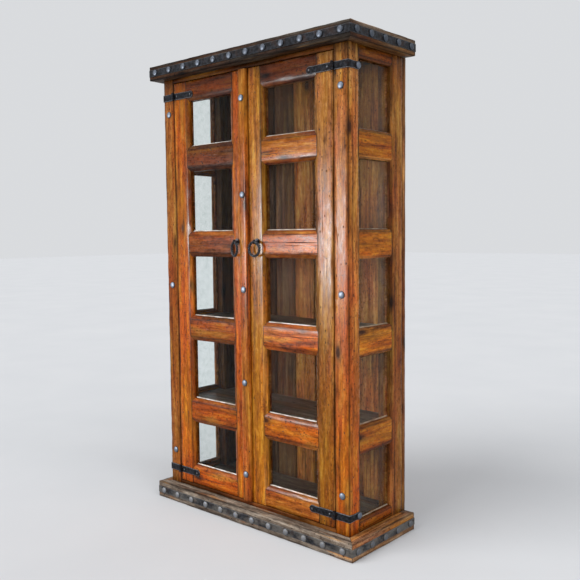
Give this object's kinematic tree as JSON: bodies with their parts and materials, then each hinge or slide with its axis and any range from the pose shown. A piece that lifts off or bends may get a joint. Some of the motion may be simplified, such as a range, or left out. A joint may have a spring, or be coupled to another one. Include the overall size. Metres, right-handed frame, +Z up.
{
  "type": "glazed display hutch",
  "caption": "Tall rustic pine display hutch with glazed double doors and sides, inside shelves, iron-banded crown and base, strap hinges and ring pulls.",
  "frame": {"origin": "on the floor, under the middle of the object's box", "axes": "+Z up, the doors face -Y, +X to the right seen from the front"},
  "size_m": [1.241, 0.468, 2.134],
  "materials": {
    "pine_door": "satin varnish over reclaimed pine",
    "pine_carcass": "satin varnish over reclaimed pine",
    "pine_slab": "worn satin varnish over reclaimed pine",
    "pine_inside": "dark stained pine",
    "iron": "forged, waxed",
    "clavo": "hammered, worn bright on top",
    "steel": "zinc plated",
    "glass": "clear"
  },
  "bodies": {
    "cabinet": {"back_boards": "pine_inside", "base_back": "pine_slab", "base_band": "iron", "base_front": "pine_slab", "base_left": "pine_slab", "base_right": "pine_slab", "clavos": "clavo", "crown_back": "pine_slab", "crown_band": "iron", "crown_front": "pine_slab", "crown_left": "pine_slab", "crown_panel": "pine_slab", "crown_right": "pine_slab", "door_catches": "steel", "floor_board": "pine_inside", "front_left_post": "pine_carcass", "front_right_post": "pine_carcass", "header_rail": "pine_carcass", "hinge_pins": "iron", "left_hinge_straps": "iron", "left_side_end_rails": "pine_carcass", "left_side_glass": "glass", "left_side_mid_rails": "pine_carcass", "rear_left_post": "pine_carcass", "rear_right_post": "pine_carcass", "right_hinge_straps": "iron", "right_side_end_rails": "pine_carcass", "right_side_glass": "glass", "right_side_mid_rails": "pine_carcass", "shelf_1": "pine_inside", "shelf_2": "pine_inside", "shelf_3": "pine_inside", "shelf_4": "pine_inside", "shelf_cleats": "pine_inside", "side_beads": "pine_carcass", "sill_rail": "pine_carcass"},
    "left_door": {"astragal": "pine_door", "astragal_clavos": "clavo", "left_door_beads": "pine_door", "left_door_bottom_rail": "pine_door", "left_door_glass": "glass", "left_door_hinge_leaves": "iron", "left_door_hinge_stile": "pine_door", "left_door_meeting_stile": "pine_door", "left_door_mid_rails": "pine_door", "left_door_pull_eye": "iron", "left_door_strike": "steel", "left_door_top_rail": "pine_door"},
    "right_door": {"right_door_beads": "pine_door", "right_door_bottom_rail": "pine_door", "right_door_glass": "glass", "right_door_hinge_leaves": "iron", "right_door_hinge_stile": "pine_door", "right_door_meeting_stile": "pine_door", "right_door_mid_rails": "pine_door", "right_door_pull_eye": "iron", "right_door_strike": "steel", "right_door_top_rail": "pine_door"},
    "left_ring": {"left_door_ring": "iron"},
    "right_ring": {"right_door_ring": "iron"}
  },
  "joints": [
    {"name": "left_door_swing", "type": "hinge", "parent": "cabinet", "child": "left_door", "pos_m": [-0.4875, -0.1839, 1.072], "axis": [0, 0, -1], "range_deg": [0, 110]},
    {"name": "right_door_swing", "type": "hinge", "parent": "cabinet", "child": "right_door", "pos_m": [0.4875, -0.1839, 1.072], "axis": [0, 0, 1], "range_deg": [0, 110]},
    {"name": "left_ring_lift", "type": "hinge", "parent": "left_door", "child": "left_ring", "pos_m": [-0.066, -0.196, 1.286], "axis": [-1, 0, 0], "range_deg": [0, 95]},
    {"name": "right_ring_lift", "type": "hinge", "parent": "right_door", "child": "right_ring", "pos_m": [0.058, -0.196, 1.286], "axis": [-1, 0, 0], "range_deg": [0, 95]}
  ]
}
